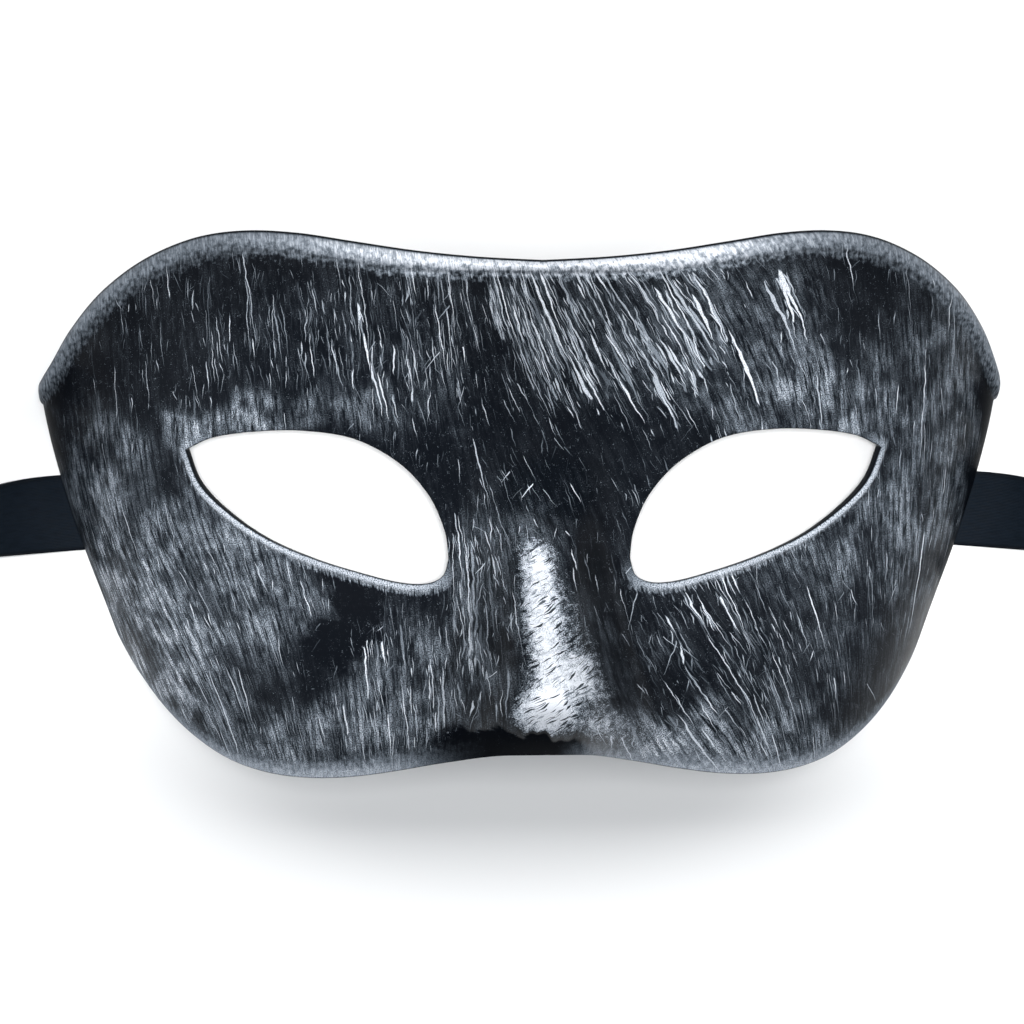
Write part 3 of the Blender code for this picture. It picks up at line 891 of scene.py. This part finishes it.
# %% The bristle marks
WANDER_SCALE = 0.22  # bends for each millimetre
WANDER = 1.1  # how far a mark strays, in millimetres
SEED_STEP = 13.7  # cells between two coats, so that no two show the same marks
SOFT_EDGE = (-0.03, 0.06)  # millimetres over which a mark's edge fades

marks, source, mark_out = group(
    "bristle marks", "mark", map=None, across=1.0, along=8.0, width=0.2, spread=0.15,
    seed=0.0, amount=0.5,
)
# The map wanders a little, so that no mark is a ruled line.
wander = noise(source["map"], WANDER_SCALE, roughness=0.7)
wander = times(less(wander, 0.5), WANDER)
path = vector("ADD", source["map"], combine(wander, 0.0, 0.0))
cell_size = combine(source["across"], source["along"], 1.0)
seed_shift = combine(times(source["seed"], SEED_STEP), source["seed"], 0.0)
in_cells = vector("ADD", vector("DIVIDE", path, cell_size), seed_shift)
cells = add("TexVoronoi", in_cells, None, 1.0, voronoi_dimensions="2D")
cells.inputs["Randomness"].default_value = 0.9
lean_pick, size_pick, show_pick = split(cells.outputs["Color"])
from_middle = vector("SUBTRACT", in_cells, cells.outputs["Position"])
from_middle = vector("MULTIPLY", from_middle, cell_size)
turn = times(less(lean_pick, 0.5), 2.0, source["spread"])
off_line, on_line, _ = split(turned(from_middle, turn))
# Where the point is along the mark: -1 at its foot, 1 at its top.
half_length = times(source["along"], fade(size_pick, 0, 1, 0.22, 0.65))
where = calc("DIVIDE", on_line, half_length)
taper = calc("SUBTRACT", 1.0, times(where, where), clamp=True)
taper = calc("POWER", taper, 0.7)
blunt = fade(where, -1.0, 0.6, 0.35, 1.0)
mark_width = times(source["width"], times(taper, blunt))
# One random number gives another: a multiple of it, less its whole part.
width_pick = calc("FRACT", times(lean_pick, 7.31))
width_pick = calc("POWER", width_pick, 2.0)
mark_width = times(mark_width, fade(width_pick, 0, 1, 0.55, 2.0))
gap = less(mark_width, calc("ABSOLUTE", off_line))
shown = fade(less(source["amount"], show_pick), 0.0, 0.06)
# Most marks are faint and a few are bright.
strength = calc("FRACT", times(size_pick, 5.17))
strength = fade(calc("POWER", strength, 1.6), 0, 1, 0.07, 1.0)
wire(times(fade(gap, *SOFT_EDGE), shown, strength), mark_out)

# %% [markdown]
# A dry brush also leaves a haze: hundreds of faint lines too fine to count. That is noise
# stretched along the brush, and the amount of paint only makes it stronger or weaker, so
# that a haze fades out softly where a bristle mark stops short.

# %% The dry haze
dry_haze, source, haze_out = group("dry haze", "haze", map=None, fineness=1.0, stretch=12.0)
along_scale = calc("DIVIDE", source["fineness"], source["stretch"])
squeezed = combine(source["fineness"], along_scale, 1.0)
squeezed = vector("MULTIPLY", source["map"], squeezed)
threads = noise(squeezed, 1.0, detail=3.0, roughness=0.62)
wire(fade(threads, 0.40, 0.68), haze_out)

# %% [markdown]
# The painted plastic is built in the order that it was made. Black plastic comes first, then
# the haze, the bristle marks from long to short, the crossing hairs, and last the places where
# the brush pressed hardest: the rolled rim, the lower lids and the ridge of the nose. The rise
# of the rim's silver to its middle, and the brightest silver along the crest and on the tip of
# the nose, are also painted highlights. Where there is paint the surface is a rough metal, and
# where there is none it is a smooth dark plastic.

# %% The painted plastic
BLACK = (0.0024, 0.0033, 0.0050, 1)
THIN_SILVER = (0.50, 0.60, 0.72, 1)
SILVER = (0.78, 0.81, 0.87, 1)
BLACK_IOR = 1.17  # a soft black that mirrors little
SHINE = 0.5  # the usual specular level
DULL_SHINE = 0.008
# Each coat of marks: spacing across and along, width, spread in radians, seed, how much of
# the streak amount it skips, and its strength. Lengths are in millimetres.
COATS = (
    (2.6, 17.0, 0.40, 0.08, 1.0, 0.45, 0.90),
    (1.3, 26.0, 0.15, 0.08, 2.0, 0.14, 1.00),
    (0.95, 13.0, 0.12, 0.14, 3.0, 0.04, 1.00),
    (0.65, 7.0, 0.085, 0.24, 4.0, 0.00, 0.95),
    (0.42, 3.6, 0.065, 0.34, 5.0, 0.00, 0.80),
)
# Hairs lie at wide angles: spacing across and along, width and seed.
HAIR_COATS = ((2.4, 8.0, 0.075, 11.0), (1.6, 4.5, 0.06, 12.0))
HAIR_SPREAD = 1.1  # radians
HAIR_STRENGTH = 0.9
# Marks of the stiffer brush that crossed the nose, in the same order.
NOSE_BRUSH_TURN = math.radians(58)
DASHES = (0.40, 2.6, 0.13, 21.0)
CUTS = (4.0, 15.0, 0.15, 22.0)


def new_material(name, **values):
    """A material, its node tree and its shader, with plain values for the shader's
    sockets. Their names take a space where the keyword has a _."""
    made = bpy.data.materials.new(name)
    made.use_nodes = True
    shader = made.node_tree.nodes["Principled BSDF"]
    for socket, value in values.items():
        shader.inputs[socket.replace("_", " ")].default_value = value
    return made, made.node_tree, shader


def blend_colours(factor, first, second):
    mix = add("Mix", factor, data_type="RGBA")
    colours = [socket for socket in mix.inputs if socket.type == "RGBA"]
    wire(first, colours[0])
    wire(second, colours[1])
    return [socket for socket in mix.outputs if socket.type == "RGBA"][0]


def add_bump(shader, height, strength, distance):
    bump = shader.id_data.nodes.new("ShaderNodeBump")
    for name, value in (("Strength", strength), ("Distance", distance), ("Height", height)):
        wire(value, bump.inputs[name])
    wire(bump.outputs[0], shader.inputs["Normal"])


def mark_coat(place, sizes, spread, amount):
    """Bristle marks with their spacing across and along, their width and their seed."""
    across, along, width, seed = sizes
    return place_group(
        marks, map=place, across=across, along=along, width=width, spread=spread,
        seed=seed, amount=amount,
    )


def painted_plastic():
    made, tree, shader = new_material("dry brushed plastic", IOR=BLACK_IOR)
    brushed_map = attribute(tree, "brushed")
    plain = attribute(tree, "plain")
    _, _, painted_side = split(plain)
    rim_at, hole_at, lower_lid = split(attribute(tree, "edges"))
    streak_amount, haze_amount, hair_amount = split(attribute(tree, "paint"))
    solid_amount, rim_silver_and_highlight, dull = split(attribute(tree, "silver"))

    # Broad unevenness, tufts of bristles, and a grain that breaks every thin coat.
    uneven = noise(plain, 0.15, detail=3.0, roughness=0.6)
    clumps = noise(vector("MULTIPLY", brushed_map, (0.20, 0.05, 1.0)), 1.0)
    grain = noise(plain, 4.5, roughness=0.7)
    blotches = noise(plain, 0.9, detail=3.0, roughness=0.65)
    ragged = noise(vector("MULTIPLY", brushed_map, (2.2, 0.35, 1.0)), 1.0)

    def haze_threads(fineness, stretch):
        return place_group(dry_haze, map=brushed_map, fineness=fineness, stretch=stretch)

    # Haze: coarse and fine threads together.
    haze_coat = plus(times(haze_threads(1.0, 9.0), 0.26), times(haze_threads(3.4, 9.0), 0.18))
    haze_coat = times(haze_coat, haze_amount, fade(uneven, 0.36, 0.64, 0.34, 1.60))
    haze_coat = times(haze_coat, fade(grain, 0.36, 0.62, 0.30, 1.60))

    # Specks: grains that the brush just touched.
    specks = plus(times(grain, 0.75), times(blotches, 0.45))
    touched = fade(plus(haze_amount, streak_amount), 0.0, 0.16, 0.04, 0.24)
    speck_coat = fade(specks, 0.74, 0.86, 0.0, touched)

    # Bristle marks, each coat finer than the last. The first is a whole tuft, so threads
    # of bare plastic show through it.
    tuft_threads = haze_threads(4.5, 14.0)
    cover = most(haze_coat, speck_coat)
    amount = times(streak_amount, fade(clumps, 0.36, 0.64, 0.40, 1.55))
    swell = fade(streak_amount, 0.25, 1.0, 0.8, 1.75)
    for number, (across, along, width, spread, seed, skipped, strength) in enumerate(COATS):
        sizes = (across, along, times(swell, width), seed)
        coat = mark_coat(brushed_map, sizes, spread, less(amount, skipped))
        if number == 0:
            coat = times(coat, tuft_threads)
        cover = most(cover, times(coat, strength))
    for sizes in HAIR_COATS:
        coat = mark_coat(plain, sizes, HAIR_SPREAD, hair_amount)
        cover = most(cover, times(coat, HAIR_STRENGTH))
    cover = times(cover, fade(grain, 0.34, 0.52, 0.50, 1.0))

    # The nose: nearly solid in its middle, breaking into specks at its edge, and crossed by the
    # dark marks of a stiffer brush that went over it sideways. Along its crest and on its tip
    # the silver is also a painted highlight.
    edge = plus(times(grain, 0.8), times(blotches, 0.6))
    nose_coat_and_highlight = fade(plus(solid_amount, edge), 1.08, 1.62)
    sideways = turned(plain, NOSE_BRUSH_TURN)
    dashes = mark_coat(sideways, DASHES, 0.26, 1.2)
    cuts = mark_coat(sideways, CUTS, 0.25, 0.8)
    dashes = fade(dashes, 0.0, 0.45, 0.0, 0.95)
    nose_coat_and_highlight = times(nose_coat_and_highlight, less(1.0, most(dashes, cuts)))

    # The rim: strokes across its crest that drop below the crease here and there, brighter
    # towards the middle of the rim, partly as a painted highlight.
    torn = plus(times(ragged, 2.0), times(blotches, 4.0))
    rim_coat_and_highlight = fade(plus(rim_at, less(torn, 3.4)), -1.9, 2.0)
    rim_threads = fade(haze_threads(2.6, 5.0), 0.0, 1.0, 0.70, 1.22)
    rim_coat_and_highlight = times(rim_coat_and_highlight, rim_silver_and_highlight, rim_threads)
    rim_coat_and_highlight = times(rim_coat_and_highlight, fade(blotches, 0.32, 0.60, 0.65, 1.15))
    # The lower lids: solid on the lip, gone where it meets the cheek.
    lid_coat = plus(hole_at, times(ragged, 3.0))
    lid_coat = times(fade(lid_coat, 3.5, 2.1), lower_lid)
    lid_coat = times(lid_coat, fade(grain, 0.36, 0.60, 0.14, 0.74))
    # The bottom edge: a soft band with a torn upper side.
    bottom_at, bottom_amount, _ = split(attribute(tree, "bottom"))
    torn = less(bottom_at, times(torn, 1.1))
    bottom_coat = times(fade(torn, 1.4, -4.5), bottom_amount)
    bottom_coat = times(bottom_coat, fade(grain, 0.30, 0.62, 0.50, 1.15))
    cover = most(cover, nose_coat_and_highlight, rim_coat_and_highlight, lid_coat, bottom_coat)
    cover = times(cover, painted_side)

    silver = blend_colours(cover, THIN_SILVER, SILVER)
    wire(blend_colours(cover, BLACK, silver), shader.inputs["Base Color"])
    wire(fade(cover, 0.0, 0.8, 0.0, 0.40), shader.inputs["Metallic"])
    rough = plus(fade(cover, 0.0, 0.7, 0.30, 0.50), times(grain, 0.06))
    wire(rough, shader.inputs["Roughness"])
    shine = fade(dull, 0.0, 0.75, SHINE, DULL_SHINE)
    wire(shine, shader.inputs["Specular IOR Level"])
    height = plus(times(ragged, 0.5), times(grain, 0.5))
    add_bump(shader, height, 0.35, 0.00008)
    return made


plastic = painted_plastic()
shell.data.materials.append(plastic)
print("nodes in the painted plastic:", len(plastic.node_tree.nodes))

# %% [markdown]
# Satin shows long threads lying side by side along the ribbon, so it shines along them.
# Fine lines run the length of the ribbon and finer ones cross it. A lighter colour in the
# middle, broken up by slubs, is a painted sheen. Both edges are woven tighter, get none of the
# painted sheen and look darker.

# %% The black satin
SATIN = (0.002, 0.004, 0.007, 1)
SATIN_SHEEN = (0.004, 0.008, 0.014, 1)
WARP_PITCH = 0.28  # millimetres from thread to thread
WEFT_PITCH = 0.22


def black_satin():
    made, tree, shader = new_material(
        "black satin", Specular_IOR_Level=0.15, Sheen_Weight=0.03
    )
    weave = attribute(tree, "weave")
    across, along, _ = split(weave)
    warp = calc("SINE", times(across, 2 * math.pi / WARP_PITCH))
    weft = calc("SINE", times(along, 2 * math.pi / WEFT_PITCH))
    slubs = noise(vector("MULTIPLY", weave, (3.0, 0.4, 1.0)), 1.0, detail=3.0)
    from_edge = less(RIBBON_WIDTH / 2 * MM, calc("ABSOLUTE", across))
    inside = fade(from_edge, 0.5, 0.9)
    # The lighter SATIN_SHEEN colour is a painted sheen, broken up by the slubs and stopping
    # short of the edges.
    painted_sheen = times(inside, fade(slubs, 0.3, 0.7, 0.35, 0.8))
    wire(blend_colours(painted_sheen, SATIN, SATIN_SHEEN), shader.inputs["Base Color"])
    wire(fade(slubs, 0.3, 0.7, 0.42, 0.55), shader.inputs["Roughness"])
    height = plus(warp, times(weft, 0.6), times(slubs, 2.0))
    add_bump(shader, height, 0.4, 0.00003)
    return made


satin = black_satin()
for strip in ribbons.values():
    strip.data.materials.append(satin)

# %% [markdown]
# The studio is a near white table and one long soft light beyond the top of the mask, which
# throws the shadow under the chin edge and puts the bright line down the nose. Two weaker
# walls stand low at the chin's side, and a lamp straight above keeps the table white. The
# table also shows white through the eye holes, so a narrow lamp shines down through each.

# %% Table and lights
FLOOR_SIZE = 3.0
TABLE_WHITE = (0.88, 0.885, 0.89, 1)
COOL_WHITE = (0.86, 0.93, 1.0)
SKY = (0.80, 0.90, 1.0, 1)
SKY_STRENGTH = 0.06
# Soft lamps: place, what it looks at, size in metres, watts and colour.
SOFT_LIGHTS = {
    "window": ((0.02, 0.42, 0.96), (0, 0, 0.02), (1.6, 0.36), 10.5, (1, 1, 1)),
    "left wall": ((-0.95, -0.42, 0.6), (0, 0, 0), (0.5, 1.0), 2.3, COOL_WHITE),
    "right wall": ((0.95, -0.42, 0.6), (0, 0, 0), (0.5, 1.0), 1.9, COOL_WHITE),
    "overhead": ((-0.06, 0.0, 1.2), (0, 0, 0), (0.3, 0.3), 7.2, (1, 1, 1)),
}
EYE_LAMP_AT = (-0.052, 0.0, 0.735)
EYE_LAMP_WATTS = 20.0
EYE_LAMP_CONE = math.radians(7.2)
EYE_SPOTS = {"left eye": (-0.043, 0, 0), "right eye": (0.049, 0, 0)}


def turn_to(obj, right, up, back):
    """Turns an object so that its own axes lie along three given directions."""
    obj.rotation_euler = Matrix(np.column_stack([right, up, back]).tolist()).to_euler()


def lamp(name, kind, place, target, watts):
    """A light at a place, looking at a target and unseen by the camera."""
    data = bpy.data.lights.new(name, kind)
    data.energy = watts
    obj = link(bpy.data.objects.new(name, data))
    obj.visible_camera = False
    obj.location = place
    away = unit(np.array(place, float) - target)
    side_way = unit(np.cross((0, 1, 0.001), away))
    turn_to(obj, side_way, np.cross(away, side_way), away)
    return obj, data


corner = FLOOR_SIZE / 2
square = np.array([(-1, -1, 0), (1, -1, 0), (1, 1, 0), (-1, 1, 0)]) * corner
table = surface("table", square, np.array([(0, 1, 2, 3)]))
table_top, _, _ = new_material(
    "white table", Base_Color=TABLE_WHITE, Roughness=0.9, Specular_IOR_Level=0.1
)
table.data.materials.append(table_top)
world = bpy.data.worlds.new("studio")
world.use_nodes = True
world.node_tree.nodes["Background"].inputs[0].default_value = SKY
world.node_tree.nodes["Background"].inputs[1].default_value = SKY_STRENGTH
scene = bpy.context.scene
scene.world = world
for name, (place, target, size, watts, colour) in SOFT_LIGHTS.items():
    obj, data = lamp(name, "AREA", place, target, watts)
    data.shape = "RECTANGLE"
    data.size, data.size_y = size
    data.color = colour
    obj.visible_glossy = name != "overhead"
for name, target in EYE_SPOTS.items():
    obj, data = lamp(name, "SPOT", EYE_LAMP_AT, target, EYE_LAMP_WATTS)
    data.spot_size = EYE_LAMP_CONE
    data.spot_blend = 0.35
    data.shadow_soft_size = 0.015
    obj.visible_glossy = False
scene.view_settings.view_transform = "Standard"
print("lamps:", [*SOFT_LIGHTS, *EYE_SPOTS])

# %% The camera, where the photo was taken from
CAMERA_TURN = math.radians(4.0)
CAMERA_ROLL = math.radians(0.3)
CAMERA_DISTANCE = 0.737
PIXELS_PER_METRE = 5300
IMAGE_SIZE = 1024
ORIGIN_AT = (520.6, 506.4)
SENSOR = 36.0

back = np.array([-math.sin(CAMERA_TURN), 0, math.cos(CAMERA_TURN)])
flat_right = np.array([math.cos(CAMERA_TURN), 0, math.sin(CAMERA_TURN)])
flat_up = np.array([0, 1.0, 0])
right = flat_right * math.cos(CAMERA_ROLL) - flat_up * math.sin(CAMERA_ROLL)
up = flat_right * math.sin(CAMERA_ROLL) + flat_up * math.cos(CAMERA_ROLL)
off_x = (IMAGE_SIZE / 2 - ORIGIN_AT[0]) / PIXELS_PER_METRE
off_y = (ORIGIN_AT[1] - IMAGE_SIZE / 2) / PIXELS_PER_METRE
aim = right * off_x + up * off_y
camera_data = bpy.data.cameras.new("photo view")
camera_data.sensor_width = SENSOR
camera_data.sensor_fit = "HORIZONTAL"
camera_data.lens = PIXELS_PER_METRE * CAMERA_DISTANCE / IMAGE_SIZE * SENSOR
camera = link(bpy.data.objects.new("photo view", camera_data))
camera.location = aim + back * CAMERA_DISTANCE
turn_to(camera, right, up, back)
scene.camera = camera
print("lens, mm:", round(camera_data.lens, 1), "aim, mm:", (aim * MM).round(2).tolist())

# %% Bring the scene up to date
bpy.context.view_layer.update()
